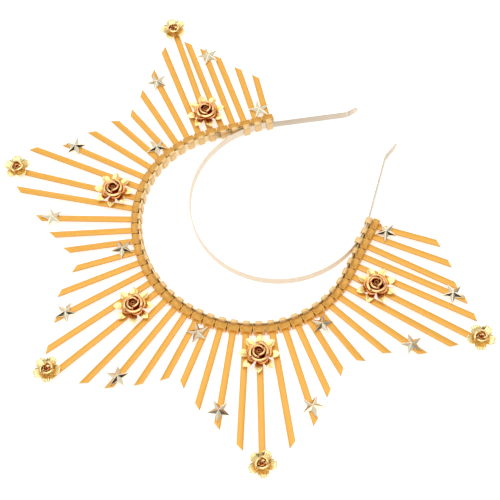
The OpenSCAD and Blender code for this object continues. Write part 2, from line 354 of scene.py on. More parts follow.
# %% [markdown]
# ## Reading the ties from the CAD model
# Every tie in the CAD model is a loose solid. The four corners of its strap's top face say where
# the strap leaves its head, where it points, and how its end is cut. Measuring them here means
# that the lengths and leans are written down in one place only, the CAD source.

# %% Loose solids of a node
MERGE = 0.002


@dataclass
class Tie:
    foot: Vector
    across: Vector
    out: Vector
    heading: Vector
    right: float
    left: float
    reach: float


def merged_copy(mesh):
    """A CAD mesh is loose triangles. This is a copy with its shared corners joined."""
    solid = bmesh.new()
    solid.from_mesh(mesh)
    bmesh.ops.remove_doubles(solid, verts=solid.verts, dist=MERGE * MM)
    return solid


def loose_parts(node):
    """The corner points of each loose solid of a node, in millimetres."""
    solid = merged_copy(node.data)
    left = set(solid.verts)
    parts = []
    while left:
        edge, part = [left.pop()], []
        while edge:
            corner = edge.pop()
            part.append(corner.co / MM)
            near = {e.other_vert(corner) for e in corner.link_edges} & left
            left -= near
            edge.extend(near)
        parts.append(part)
    solid.free()
    return parts


print("the first node of ties has", len(loose_parts(cad["rays_1"])), "loose solids")

# %% [markdown]
# Seen from above, a tie has a direction across its head and one straight out from the band. The
# strap may lean away from that, as it does on a thing made by hand, so its own heading is kept
# too. Right and left are the lengths of the strap's two edges, which differ by the slant of its
# end, and reach is how far the clasp loop goes in, past one band or both.

# %% Measure the ties
STRAP_TOP, CLASP_TOP = 4.1, 8.2
LEVEL, BELOW_TOP = 0.02, 0.05


def flat(vector):
    return Vector((vector.x, vector.y, 0.0))


def measure_tie(corners):
    top = [flat(c) for c in corners if abs(c.z - STRAP_TOP) < LEVEL]
    clasp = [flat(c) for c in corners if c.z > CLASP_TOP - BELOW_TOP]
    middle = sum(clasp, Vector()) / len(clasp)
    top.sort(key=lambda c: (c - middle).length)
    near, far = top[:2], top[-2:]
    foot = (near[0] + near[1]) / 2
    across = (near[1] - near[0]).normalized()
    out = Vector((-across.y, across.x, 0.0))
    if out.dot(foot - middle) < 0:
        across, out = -across, -out
    far.sort(key=lambda c: across.dot(c))
    near.sort(key=lambda c: across.dot(c))
    heading = (far[1] - near[1]).normalized()
    right, left = (heading.dot(c - foot) for c in reversed(far))
    reach = max(-out.dot(flat(c) - foot) for c in corners)
    return Tie(foot, across, out, heading, right, left, reach)


fans = {p: [measure_tie(c) for c in loose_parts(cad[f"rays_{p}"])] for p in range(1, POINTS + 1)}
for point, fan in fans.items():
    lengths = sorted(round(max(t.right, t.left), 1) for t in fan)
    print("point", point, "has", len(fan), "ties, from", lengths[0], "to", lengths[-1], "mm")

# %% [markdown]
# ## The head of a tie
# A tie's head is a small moulded block. Its edges are never sharp, and a bevel of a third of a
# millimetre is what catches the light. It swells a little at its waist and narrows towards the
# face that the strap leaves by, and its top has a shallow panel. The swell keeps the seam between
# two heads thin. One head is enough: the shape tree below puts a copy on every foot.

# %% Make one head
HEAD_WIDTH, HEAD_TIP_WIDTH, HEAD_DEPTH = 7.7, 7.4, 4.5
HEAD_WAIST, HEAD_SWELL = 0.6, 0.1
HEAD_LOW, HEAD_HIGH, HEAD_EASE = 0.2, 6.2, 0.32
PANEL_RIM, PANEL_SLOPE, PANEL_DEPTH = 0.7, 0.25, 0.14


def head_block():
    """The head at the origin, with the strap leaving along +Y, in millimetres."""
    wide, tip, waist = HEAD_WIDTH / 2, HEAD_TIP_WIDTH / 2, -HEAD_DEPTH * HEAD_WAIST
    full = wide + HEAD_SWELL
    right = [(wide, -HEAD_DEPTH), (full, waist), (tip, 0)]
    plan = [(-wide, -HEAD_DEPTH), *right, (-tip, 0), (-full, waist)]
    block = bmesh.new()
    floor = [block.verts.new((x, y, HEAD_LOW)) for x, y in plan]
    roof = [block.verts.new((x, y, HEAD_HIGH)) for x, y in plan]
    block.faces.new(reversed(floor))
    block.faces.new(roof)
    for i in range(len(plan)):
        j = (i + 1) % len(plan)
        block.faces.new((floor[i], floor[j], roof[j], roof[i]))
    ease = {"offset": HEAD_EASE, "segments": 2, "profile": 0.5, "affect": "EDGES"}
    bmesh.ops.bevel(block, geom=block.edges[:], **ease)
    top = max(block.faces, key=lambda f: f.calc_center_median().z + f.calc_area() / 100)
    bmesh.ops.inset_individual(block, faces=[top], thickness=PANEL_RIM, depth=0)
    bmesh.ops.inset_individual(block, faces=[top], thickness=PANEL_SLOPE, depth=-PANEL_DEPTH)
    return block


print("a head is", HEAD_WIDTH, "mm wide and", round(HEAD_HIGH - HEAD_LOW, 1), "mm high")

# %% [markdown]
# Two marks go on the head for the paint. The points that face a neighbour get painted shade for the seam,
# and those of the front face, where the strap leaves, get the strap's lighter colour as painted light.


# %% Mark the head for the paint
def head_mesh():
    block = head_block()
    bmesh.ops.scale(block, vec=(MM, MM, MM), verts=block.verts)
    mesh = bpy.data.meshes.new("tie_head")
    block.to_mesh(mesh)
    block.free()
    side, front = (HEAD_WIDTH / 2 - 0.05) * MM, -0.4 * MM
    under_top, under_rim = (HEAD_HIGH - 0.1) * MM, (HEAD_HIGH - 0.3) * MM
    places = [v.co for v in mesh.vertices]
    marks = {
        # Painted shade: the sides that face a neighbour are painted dark for the seam.
        "seam": [float(abs(p.x) > side and p.z < under_top) for p in places],
        # Painted light: the front face gets the strap's lighter paint in place of the light it lacks.
        "front": [float(p.y > front and p.z < under_rim) for p in places],
    }
    for label, values in marks.items():
        mesh.attributes.new(label, "FLOAT", "POINT").data.foreach_set("value", values)
    return mesh


one_head = new_object("tie_head", head_mesh())
smooth(one_head, 40)
print("one head has", len(one_head.data.polygons), "faces")

# %% [markdown]
# ## A fan of ties
# The ties follow one rule, so Geometry Nodes make them. The script draws only thin paths: an open
# line for each strap, a closed rounded loop for each clasp, and a single point for each head. The
# tree sweeps a strip along the lines, cuts the strap ends on a slant, adds the fine ribs that every
# tie has on one side, and sets the heads on their points.

# %% The path of a clasp loop
CLASP_WALL, CLASP_FRONT, CLASP_BEND = 0.9, 4.3, 0.62
SEAM_SHADE_ON_LOOP = 0.15


def loop_path(tie):
    """The middle line of a clasp loop, seen along the band, and how much painted seam shade each point
    gets.
    """
    half = CLASP_WALL / 2
    low, high = half + CLASP_BEND, CLASP_TOP - half - CLASP_BEND
    back, front = -tie.reach + half + CLASP_BEND, -CLASP_FRONT - half - CLASP_BEND
    path = []
    for y, z, end in ((front, high, 90), (back, high, 180), (back, low, 270), (front, low, 360)):
        # Painted shade: the loop's wall next to the head gets a little seam shade.
        loop_seam_shade = SEAM_SHADE_ON_LOOP if y > back + CLASP_BEND else 0.0
        for turn in (90, 60, 30, 0):
            a = math.radians(end - turn)
            place = tie.foot + tie.out * (y + CLASP_BEND * math.cos(a))
            place.z += z + CLASP_BEND * math.sin(a)
            path.append((place, loop_seam_shade * max(0.0, math.cos(a))))
    return path


print("a loop's path has", len(loop_path(fans[1][0])), "points")

# %% [markdown]
# All the paths of a fan go into one mesh without faces. Each point carries what the tree needs to know:
# which part it belongs to, the slant of the strap's end, which side the ribs are on, the turn of a head,
# how much painted seam shade a loop gets, and the heading of a strap. A strap's path starts inside its
# head. Only three ties lie with their ribs up.

# %% The paths of a fan
STRAP_WIDTH, STRAP_THICK, STRAP_START = 4.2, 1.2, -1.5
STRAP, LOOP, HEAD = 0, 1, 2
RIBBED_UP = (19, 37, 38)


def fan_paths(name, fan, first):
    points, edges = [], []
    marks = {label: [] for label in ("part", "slant", "ribs", "turn", "seam", "heading")}

    def add(where, part, slant=0.0, ribs=0.0, turn=0.0, seam=0.0, heading=Vector()):
        points.append(where * MM)
        for label, value in zip(marks, (part, slant * MM, ribs, turn, seam, heading)):
            marks[label].append(value)

    for number, tie in enumerate(fan, first):
        middle = Vector((0, 0, STRAP_TOP - STRAP_THICK / 2))
        length = (tie.right + tie.left) / 2
        ribs = 1.0 if number in RIBBED_UP else -1.0
        for distance, slant in ((STRAP_START, 0.0), (length, tie.right - tie.left)):
            where = tie.foot + tie.heading * distance + middle
            add(where, STRAP, slant, ribs, heading=tie.heading)
        edges.append((len(points) - 2, len(points) - 1))
        start = len(points)
        for where, seam in loop_path(tie):
            add(where, LOOP, seam=seam)
        loop = range(start, len(points))
        edges.extend((i, i + 1 if i + 1 in loop else start) for i in loop)
        add(tie.foot, HEAD, turn=math.atan2(tie.across.y, tie.across.x))
    mesh = bpy.data.meshes.new(name)
    mesh.from_pydata(points, edges, [])
    mesh.attributes.new("part", "INT", "POINT").data.foreach_set("value", marks.pop("part"))
    ways = np.array(marks.pop("heading"), dtype=float).ravel()
    mesh.attributes.new("heading", "FLOAT_VECTOR", "POINT").data.foreach_set("vector", ways)
    for label, values in marks.items():
        mesh.attributes.new(label, "FLOAT", "POINT").data.foreach_set("value", values)
    return new_object(name, mesh)


print("ribs face up on ties", RIBBED_UP)

# %% [markdown]
# The tree reads those marks by name and keeps the points of one part at a time. A strip is swept from a
# small rounded rectangle, and each point of it knows how far across the strip it is, from -1 to 1. The
# slant uses that, and so does the painted shade that darkens the strap towards its edges.


# %% Helpers for the fan tree
def named(graph, name, kind="FLOAT"):
    return graph.node("GeometryNodeInputNamedAttribute", {"data_type": kind}, {"Name": name})


def store(graph, geometry, name, value):
    options = {"data_type": "FLOAT", "domain": "POINT"}
    sockets = {0: geometry, "Name": name, "Value": value}
    return graph.node("GeometryNodeStoreNamedAttribute", options, sockets)


def only(graph, geometry, kind):
    options = {"data_type": "INT", "operation": "EQUAL"}
    same = graph.node("FunctionNodeCompare", options, {2: named(graph, "part", "INT"), 3: kind})
    return graph.node("GeometryNodeSeparateGeometry", {"domain": "POINT"}, {0: geometry, 1: same})


def strip_profile(graph, width, thick, edge):
    """A flat strip's section with rounded edges. Its points know how far across they are."""
    box = graph.node("GeometryNodeCurvePrimitiveQuadrilateral", None, {"Width": width, "Height": thick})
    rounding = {"Curve": box, "Count": 2, "Radius": edge}
    eased = graph.node("GeometryNodeFilletCurve", {"mode": "POLY"}, rounding)
    place = graph.node("GeometryNodeInputPosition")
    x = graph.node("ShaderNodeSeparateXYZ", None, {0: place}, out="X")
    return store(graph, eased, "across", x / (width * 0.5))


def sweep(graph, path, profile, caps):
    sockets = {"Curve": path, "Profile Curve": profile, "Fill Caps": caps}
    return graph.node("GeometryNodeCurveToMesh", None, sockets)


print("fan helpers ready")

# %% [markdown]
# A strap is a strip swept from head to tip. The real ends are snipped on a slant, so the points of
# the end slide along the strap by as much as they are across it. The ribs are small bars at an even
# pitch. They start past the head and stop short of the slant, so that none hangs over it.

# %% Straps and ribs
RIB_START, RIB_STOP = 6.0, 3.5
RIB_ACROSS, RIB_ALONG = 0.74, 0.45


def sweep_straps(graph, given, line, heading):
    profile = strip_profile(graph, given["Strap width"], given["Strap thick"], given["Edge"])
    strap = sweep(graph, line, profile, True)
    shift = named(graph, "slant") * named(graph, "across") * 0.5
    slide = graph.node("ShaderNodeVectorMath", {"operation": "SCALE"}, {0: heading, "Scale": shift})
    strap = graph.node("GeometryNodeSetPosition", None, {"Geometry": strap, "Offset": slide})
    return store(graph, strap, "shade", 0.0)


def set_ribs(graph, given, line, heading):
    width, pitch, rise = given["Strap width"], given["Rib pitch"], given["Rib rise"]
    sides = {0: width * RIB_ACROSS, 1: pitch * RIB_ALONG, 2: rise * 2}
    bar_size = graph.node("ShaderNodeCombineXYZ", None, sides)
    bar = graph.node("GeometryNodeMeshCube", None, {"Size": bar_size})
    long = graph.node("GeometryNodeSplineLength", out="Length")
    cut = {"Curve": line, 4: RIB_START * MM, 5: long - RIB_STOP * MM}
    ribbed = graph.node("GeometryNodeTrimCurve", {"mode": "LENGTH"}, cut)
    spacing = {"Curve": ribbed, "Length": pitch}
    spots = graph.node("GeometryNodeResampleCurve", {"mode": "LENGTH"}, spacing)
    axes = {"axis": "Y", "pivot_axis": "Z"}
    align = graph.node("FunctionNodeAlignRotationToVector", axes, {"Vector": heading})
    bars = {"Points": spots, "Instance": bar, "Rotation": align}
    rows = graph.node("GeometryNodeInstanceOnPoints", None, bars)
    side = graph.node("ShaderNodeCombineXYZ", None, {2: named(graph, "ribs") * given["Strap thick"] * 0.5})
    rows = graph.node("GeometryNodeSetPosition", None, {"Geometry": rows, "Offset": side})
    return store(graph, graph.node("GeometryNodeRealizeInstances", None, {0: rows}), "shade", 0.0)


print("ribs are", RIB_ACROSS, "of a strap's width")

# %% [markdown]
# The loops are strips too, thinner and closed, and the heads are copies of the one that was made above. A
# mark named shade tells the paint what is what: 0 on straps, 1 on loops and -1 on heads, apart from the
# front of a head, which gets its strap's lighter colour as painted light.


# %% Loops, heads and the whole tree
def sweep_loops(graph, given, paths):
    path = graph.node("GeometryNodeMeshToCurve", None, {0: only(graph, paths, LOOP)})
    edge = given["Edge"] * 0.8
    profile = strip_profile(graph, given["Strap width"], given["Loop thick"], edge)
    return store(graph, sweep(graph, path, profile, False), "shade", 1.0)


def set_heads(graph, given, paths):
    feet = graph.node("GeometryNodeMeshToPoints", None, {0: only(graph, paths, HEAD)})
    head = graph.node("GeometryNodeObjectInfo", None, {"Object": given["Head"]}, out="Geometry")
    spin = graph.node("ShaderNodeCombineXYZ", None, {2: named(graph, "turn")})
    spun = graph.node("FunctionNodeEulerToRotation", None, {0: spin})
    copies = {"Points": feet, "Instance": head, "Rotation": spun}
    row = graph.node("GeometryNodeInstanceOnPoints", None, copies)
    real = graph.node("GeometryNodeRealizeInstances", None, {0: row})
    # Painted light: the front face of a head gets its strap's lighter colour.
    return store(graph, real, "shade", named(graph, "front") - 1.0)


def fan_tree():
    sizes = ["Strap width", "Strap thick", "Loop thick", "Edge", "Rib pitch", "Rib rise"]
    graph, given = shape_tree("fan_of_ties", {**{s: float for s in sizes}, "Head": bpy.types.Object})
    paths = given["Geometry"]
    heading = named(graph, "heading", "FLOAT_VECTOR")
    line = graph.node("GeometryNodeMeshToCurve", None, {0: only(graph, paths, STRAP)})
    parts = [sweep_straps(graph, given, line, heading), set_ribs(graph, given, line, heading)]
    parts += [sweep_loops(graph, given, paths), set_heads(graph, given, paths)]
    join = graph.tree.nodes.new("GeometryNodeJoinGeometry")
    for part in parts:
        graph.tree.links.new(part.socket, join.inputs[0])
    finish_tree(graph, Value(graph, join.outputs[0]), given["Material"])
    return graph.tree


ties_tree = fan_tree()
print("the fan tree has", len(ties_tree.nodes), "nodes")

# %% [markdown]
# Now the tree runs once for each point of the crown. The ties are numbered round the crown first,
# by their direction from a spot inside it, because the three with their ribs up are known by
# number. Each fan rides on the one body there is and takes the place of its CAD node.

# %% Grow the five fans
INSIDE_CROWN = -45
EDGE, RIB_PITCH, RIB_RISE = 0.3, 1.2, 0.14
tie_sizes = {
    "strap_width": STRAP_WIDTH * MM, "strap_thick": STRAP_THICK * MM, "loop_thick": CLASP_WALL * MM,
    "edge": EDGE * MM, "rib_pitch": RIB_PITCH * MM, "rib_rise": RIB_RISE * MM,
}
first = 1
for point, fan in fans.items():
    numbered = sorted(fan, key=lambda t: math.atan2(t.foot.x, t.foot.y - INSIDE_CROWN), reverse=True)
    bare = fan_paths(f"paths_{point}", numbered, first)
    grown = grow(bare, ties_tree, f"tie_fan_{point}", head=one_head, material=paint, **tie_sizes)
    smooth(grown, 35)
    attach(grown, "root")
    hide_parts(f"rays_{point}")
    first += len(fan)
    print(grown.name, "has", len(grown.data.polygons), "faces")
bpy.data.objects.remove(one_head)

# %% [markdown]
# ## Petals
# A petal is a sheet, so it is drawn as a grid: one number runs from its foot to its tip, the other from
# side to side, and a formula says where each crossing lies. It could be sculpted, but the formula can be
# changed at any time. Solidify gives the sheet the thickness of the casting and Subdivision rounds it.
# Painted shade down the vein's crease and a painted dark reflection along the edges come with the marks
# for the cast gold.

# %% A petal from a formula
LEAF_WALL, CUP_WALL, LOW_CUP_WALL, BUD_WALL = 0.34, 0.45, 0.42, 0.4


def mark(mesh, pale, deep):
    """Writes how pale each point of a flower is and how much painted shade it gets from lying deep down.
    The cast gold reads both.
    """
    for label, values in (("pale", pale), ("deep", deep)):
        numbers = np.broadcast_to(np.asarray(values, dtype=float).ravel(), len(mesh.vertices))
        mesh.attributes.new(label, "FLOAT", "POINT").data.foreach_set("value", numbers.copy())


def sheet(name, form, rows, columns, wall=LEAF_WALL, pale=0.0, deep=(0.0, 1.0), vein_edge_shade=0.0):
    """A petal from its formula: form(along, side) in mm, along 0 to 1 and side -1 to 1.

    The depth pair says how deep down the tip and the foot are, which sets their painted shade, and the
    last number sets the painted shade down the vein's crease and the painted dark reflection along the
    edges.
    """
    along, side = np.meshgrid(np.linspace(0, 1, rows), np.linspace(-1, 1, columns), indexing="ij")
    points = np.stack(form(along, side), axis=-1).reshape(-1, 3) * MM
    faces = [
        (i * columns + j, (i + 1) * columns + j, (i + 1) * columns + j + 1, i * columns + j + 1)
        for i in range(rows - 1) for j in range(columns - 1)
    ]
    mesh = bpy.data.meshes.new(name)
    mesh.from_pydata(points.tolist(), [], faces)
    # Painted shade down the vein's crease and painted dark reflection along the edges, added to the depth
    # shade.
    crease_and_rim_shade = np.exp(-((side / 0.2) ** 2)) + side**8
    mark(mesh, pale, deep[0] + (deep[1] - deep[0]) * (1 - along) + vein_edge_shade * crease_and_rim_shade)
    petal = new_object(name, mesh)
    solid = petal.modifiers.new("wall", "SOLIDIFY")
    solid.thickness = wall * MM
    solid.offset = 0
    rounder = petal.modifiers.new("rounder", "SUBSURF")
    rounder.levels = rounder.render_levels = 1
    return as_plain_mesh(petal, name)


print("petals are", LEAF_WALL, "mm thick, and cupped ones", CUP_WALL, "mm")

# %% [markdown]
# A ring of petals repeats one petal round an axis, which is a job for a tree. Each copy gets a
# little tilt of its own, from a random vector with a fixed seed, because a casting that was
# modelled by hand is never quite regular.


# %% The ring tree
def ring_tree():
    inputs = {"Petal": bpy.types.Object, "Count": int, "Turn": float, "Unevenness": float, "Seed": int}
    graph, given = shape_tree("ring_of_petals", inputs)
    spots = graph.node("GeometryNodePoints", None, {"Count": given["Count"]})
    step = graph.node("GeometryNodeInputIndex") * (2 * math.pi) / given["Count"]
    spread = given["Unevenness"]
    low = graph.node("ShaderNodeCombineXYZ", None, {i: 0.0 - spread for i in range(3)})
    high = graph.node("ShaderNodeCombineXYZ", None, {i: spread for i in range(3)})
    limits = {0: low, 1: high, "Seed": given["Seed"]}
    random = graph.node("FunctionNodeRandomValue", {"data_type": "FLOAT_VECTOR"}, limits)
    whole = graph.node("ShaderNodeCombineXYZ", None, {2: step + given["Turn"]})
    angles = graph.node("ShaderNodeVectorMath", {"operation": "ADD"}, {0: whole, 1: random})
    spin = graph.node("FunctionNodeEulerToRotation", None, {0: angles})
    petal = graph.node("GeometryNodeObjectInfo", None, {"Object": given["Petal"]}, out="Geometry")
    copies = {"Points": spots, "Instance": petal, "Rotation": spin}
    finish_tree(graph, graph.node("GeometryNodeInstanceOnPoints", None, copies), given["Material"])
    return graph.tree


petal_ring = ring_tree()


def ring(petal, count, turn=0, unevenness=0.0, seed=1):
    """A ring of one petal as a plain mesh object. The petal is deleted."""
    holder = new_object("holder", bpy.data.meshes.new("holder"))
    angles = {"turn": math.radians(turn), "unevenness": math.radians(unevenness)}
    given = {"petal": petal, "count": count, "seed": seed, "material": flower_gold, **angles}
    made = grow(holder, petal_ring, f"{petal.name}_ring", **given)
    bpy.data.objects.remove(petal)
    return made


print("the petal ring tree has", len(petal_ring.nodes), "nodes")

# %% [markdown]
# ## The rose
# The cast rose has eight pointed leaves with a crease down the middle, five open petals that
# overlap like a fan, two rounds of cupped petals with thick rolled rims, and a tight coil in the
# middle. The rims matter most: they are the bright rings that make it read as a rose from afar.
# First come the formulas of the two flat kinds of petal.


# %% Leaf and open petal
def leaf(along, side):
    widest = 0.66
    towards_tip = np.clip((along - widest) / (1 - widest), 0, 1)
    swell = 1.1 + 1.5 * np.sin(np.pi / 2 * np.clip(along / widest, 0, 1))
    wide = swell * (1 - towards_tip**1.9) ** 1.1 + 0.02
    x = 3.0 + 10.4 * along
    rise = 0.6 + 2.1 * along**1.3 - 0.9 * along**5
    crease = 0.6 * np.abs(side) ** 0.8 * wide / 2.6
    vein = 0.07 * np.cos(2 * np.pi * (5 * along - 1.1 * np.abs(side)))
    return x, side * wide, rise + crease + vein


def open_petal(along, side):
    wide = 4.1 * np.sin(np.pi * (0.12 + 0.56 * along))
    reach = 8.5 - 2.0 * side**2
    roll = np.clip((along - 0.72) / 0.28, 0, 1)
    x = 1.5 + (reach - 1.5) * along
    z = 0.9 + 3.4 * along**1.3 + 0.5 * side * along - 1.4 * roll**2 + 0.4 * side**2
    return x, side * wide, z


print("the longest leaf reaches", round(float(leaf(np.array(1.0), np.array(0.0))[0]), 1), "mm")

# %% [markdown]
# A cupped petal is bent round the middle of the flower. Its radius grows from one side to the
# other, so the petals of a round tuck behind each other in a spiral, and its lip rolls outwards.
# The coil is one long petal, wound up and rising a little towards its inner end.


# %% Cupped petal and coil
def cup_petal(low, high, top, spread, roll_out):
    """The formula of a cupped petal, from one radius at its foot to another at its rim."""
    def form(along, side):
        angle = np.radians(spread) * side
        climb = np.sin(np.pi / 2 * np.clip(along / 0.75, 0, 1))
        lip = np.clip((along - 0.6) / 0.4, 0, 1)
        radius = low + (high - low) * along + roll_out * lip**1.6 + 0.55 * side
        height = 0.5 + (top - 0.5 - 1.1 * side**4) * climb - 0.35 * roll_out * lip**2
        return radius * np.cos(angle), radius * np.sin(angle), height
    return form


def coil(inner, outer, turns, top):
    def form(along, side):
        way = (side + 1) / 2
        angle = 2 * np.pi * turns * way
        radius = outer - (outer - inner) * way
        return radius * np.cos(angle), radius * np.sin(angle), 0.6 + (top - 0.6 + 0.3 * way) * along
    return form


print("cupped petals and coils have their formulas")

# %% [markdown]
# The rose is put together from its round plate outwards, one ring of petals at a time, and joined
# into one mesh. The numbers of a cup are its two radii, its height, half its spread in degrees and
# how far its lip rolls out.

# %% Build one rose
ROSE_LEAVES = 8


def disc(name, radius, high):
    """The round plate under a flower."""
    made = bmesh.new()
    sizes = {"radius1": radius * MM, "radius2": radius * MM, "depth": high * MM}
    bmesh.ops.create_cone(made, cap_ends=True, segments=48, **sizes)
    bmesh.ops.translate(made, vec=(0, 0, high / 2 * MM), verts=made.verts)
    mesh = bpy.data.meshes.new(name)
    made.to_mesh(mesh)
    made.free()
    # The plate lies low under the petals and gets a good deal of painted shade.
    mark(mesh, 0.5, 0.8)
    return new_object(name, mesh)


def merged(name, parts):
    """Joins plain mesh objects into one mesh, and deletes them."""
    whole = bmesh.new()
    for part in parts:
        whole.from_mesh(part.data)
        bpy.data.objects.remove(part)
    mesh = bpy.data.meshes.new(name)
    whole.to_mesh(mesh)
    whole.free()
    mesh.materials.append(flower_gold)
    mesh.shade_smooth()
    return mesh


def rose_parts():
    leaves = sheet("leaf", leaf, 14, 9, pale=1.0, deep=(-0.15, 0.6), vein_edge_shade=0.16)
    skirt = sheet("open_petal", open_petal, 8, 9, deep=(0.22, 1.0))
    outer = sheet("outer_cup", cup_petal(4.2, 5.4, 5.6, 70, 1.3), 11, 15, CUP_WALL, deep=(-0.3, 1.5))
    inner = sheet("inner_cup", cup_petal(2.8, 3.0, 6.7, 68, 1.15), 11, 13, CUP_WALL, deep=(-0.4, 1.4))
    bud = sheet("bud", coil(0.5, 2.0, 1.6, 6.1), 5, 41, BUD_WALL, deep=(0.3, 1.7))
    return [
        disc("plate", 4.2, 0.9),
        ring(leaves, ROSE_LEAVES, unevenness=3.0, seed=3),
        ring(skirt, 5, turn=18, unevenness=4.0, seed=5),
        ring(outer, 3, turn=20, unevenness=2.5, seed=2),
        ring(inner, 3, turn=80, unevenness=2.5, seed=4),
        ring(bud, 1, turn=30),
    ]


rose_mesh = merged("rose", rose_parts())
print("one rose has", len(rose_mesh.polygons), "faces")

# %% [markdown]
# ## The blossom
# The blossom at each tip is smaller and plainer: five broad petals with a notch and ripples at
# their rims, a low cup and a coil. The same helpers make it, with a petal formula of its own.

# %% Build one blossom
BLOSSOM_PETALS = 5


def blossom_petal(along, side):
    wide = 0.8 + 2.8 * np.sin(np.pi * (0.05 + 0.58 * along))
    notch = 0.6 * np.exp(-((side / 0.25) ** 2))
    reach = 9.2 - 2.6 * np.abs(side) ** 2.6 - notch
    ripple = 0.3 * np.cos(5 * np.pi * side) * along**3
    x = 1.4 + (reach - 1.4) * along
    z = 0.5 + 2.5 * along**1.6 + 0.4 * side**2 - ripple - 0.8 * along**8
    return x, side * wide, z


def blossom_parts():
    petals = sheet("petal", blossom_petal, 9, 17, pale=1.0, deep=(-0.2, 0.0), vein_edge_shade=0.15)
    cup = sheet("cup", cup_petal(2.9, 3.3, 3.9, 67, 1.1), 9, 13, LOW_CUP_WALL, 0.65, (-0.2, 0.25))
    bud = sheet("bud", coil(0.5, 2.1, 1.2, 3.5), 4, 31, BUD_WALL, 0.5, (0.1, 0.9))
    return [
        disc("plate", 3.0, 0.8),
        ring(petals, BLOSSOM_PETALS, unevenness=2.5, seed=7),
        ring(cup, 3, turn=30, unevenness=3.0, seed=8),
        ring(bud, 1),
    ]


blossom_mesh = merged("blossom", blossom_parts())
print("one blossom has", len(blossom_mesh.polygons), "faces")

# %% [markdown]
# The ornaments go where their CAD solids are. The round plate under a flower's solid gives its
# middle, and so does the peak of a star. The point that is farthest from the middle gives the
# turn. Any petal may hold that point, so the turn is brought to within half a step of zero.


# %% Set the flowers in place
def spot_of(node, petals):
    """Middle and turn of a CAD ornament with this many equal petals."""
    corners = [v.co for v in cad[node].data.vertices]
    low = min(c.z for c in corners)
    plate = [c for c in corners if c.z < low + 0.05 * MM]
    if "star" in node:
        centre = max(corners, key=lambda c: c.z).xy
    else:
        centre = [(min(c[i] for c in plate) + max(c[i] for c in plate)) / 2 for i in range(2)]
    middle = Vector((*centre, low))
    tip = max(corners, key=lambda c: flat(c - middle).length) - middle
    step = 2 * math.pi / petals
    return middle, (math.atan2(tip.y, tip.x) + step / 2) % step - step / 2


def set_ornament(node, mesh, petals):
    middle, turn = spot_of(node, petals)
    own = mesh.copy()
    own.transform(Matrix.Translation(middle) @ Matrix.Rotation(turn, 4, "Z"))
    ornament = new_object(f"{node}_petals", own)
    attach(ornament, "root")
    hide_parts(node)
    return [round(c / MM, 1) for c in middle]


for number in range(1, POINTS + 1):
    rose_at = set_ornament(f"rose_{number}", rose_mesh, ROSE_LEAVES)
    blossom_at = set_ornament(f"blossom_{number}", blossom_mesh, BLOSSOM_PETALS)
    print("point", number, "has its rose at", rose_at, "and its blossom at", blossom_at)

# %% [markdown]
# ## Stars
# A star is ten flat facets that meet in ridges. The ridges of the real ones are slightly soft, so
# each shows as a bright line. A plain solid has no such line, and a narrow bevel along the ridges
# gives it. Everything else stays as flat as it was cut.

# %% Build one star
STAR_POINTS = 5
STAR_WIDE, STAR_NOTCH, STAR_RIM, STAR_HIGH, STAR_EASE = 15.5, 0.2, 1.0, 3.0, 0.15


def faceted_star():
    star = bmesh.new()
    plan = []
    corners = 2 * STAR_POINTS
    for i in range(corners):
        radius = STAR_WIDE / 2 if i % 2 == 0 else STAR_WIDE * STAR_NOTCH
        way = i * math.pi / STAR_POINTS
        plan.append((radius * math.cos(way), radius * math.sin(way)))
    under = [star.verts.new((x, y, 0)) for x, y in plan]
    rim = [star.verts.new((x, y, STAR_RIM)) for x, y in plan]
    peak, base = star.verts.new((0, 0, STAR_HIGH)), star.verts.new((0, 0, 0))
    for i in range(corners):
        j = (i + 1) % corners
        star.faces.new((under[j], under[i], base))
        star.faces.new((under[i], under[j], rim[j], rim[i]))
        star.faces.new((rim[i], rim[j], peak))
    tips = set(rim[::2])
    ridges = [e for e in star.edges if peak in e.verts and tips & set(e.verts)]
    edges = [e for e in star.edges if all(v in rim for v in e.verts)]
    ease = {"offset": STAR_EASE, "segments": 2, "profile": 0.5, "affect": "EDGES"}
    bmesh.ops.bevel(star, geom=ridges + edges, **ease)
    bmesh.ops.scale(star, vec=(MM, MM, MM), verts=star.verts)
    mesh = bpy.data.meshes.new("star")
    star.to_mesh(mesh)
    star.free()
    mesh.materials.append(star_gold)
    return mesh


star_mesh = faceted_star()
stars = [n for n in cad if "star" in n]
for node in stars:
    set_ornament(node, star_mesh, STAR_POINTS)
print(len(stars), "stars of", len(star_mesh.polygons), "faces each")

# %% [markdown]
# ## Bands
# The bands are plain bent strips with eased edges, so their CAD solids are already the right shape.
# Their curves are made of short flat pieces, though, and polished metal shows every one of them. A
# copy with smooth shading hides that, and the real edges stay crisp because they turn sharply.

# %% Make the bands smooth
for node, band_metal in (("hair_hoop", hoop_gold), ("halo_band", halo_gold)):
    strip = merged_copy(cad[node].data)
    mesh = bpy.data.meshes.new(f"{node}_metal")
    strip.to_mesh(mesh)
    strip.free()
    mesh.materials.append(band_metal)
    band = new_object(f"{node}_metal", mesh)
    smooth(band, 25)
    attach(band, "root")
    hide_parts(node)
    print(band.name, "has", len(mesh.polygons), "faces")

# %% [markdown]
# ## The studio
# The camera is set where the photographer's was. It looks down on the crown from one side and is
# rolled a little. A fit of the ties' places gave what it aims at, its turn and its distance.

# %% Camera
AIM = Vector((-15.78, -17.04, STRAP_TOP)) * MM
DISTANCE = 883.8 * MM
AZIMUTH, ELEVATION, ROLL = math.radians(148.22), math.radians(61.78), math.radians(-8.15)
FOCAL_LENGTH, SENSOR_WIDTH = 97.4, 36.0

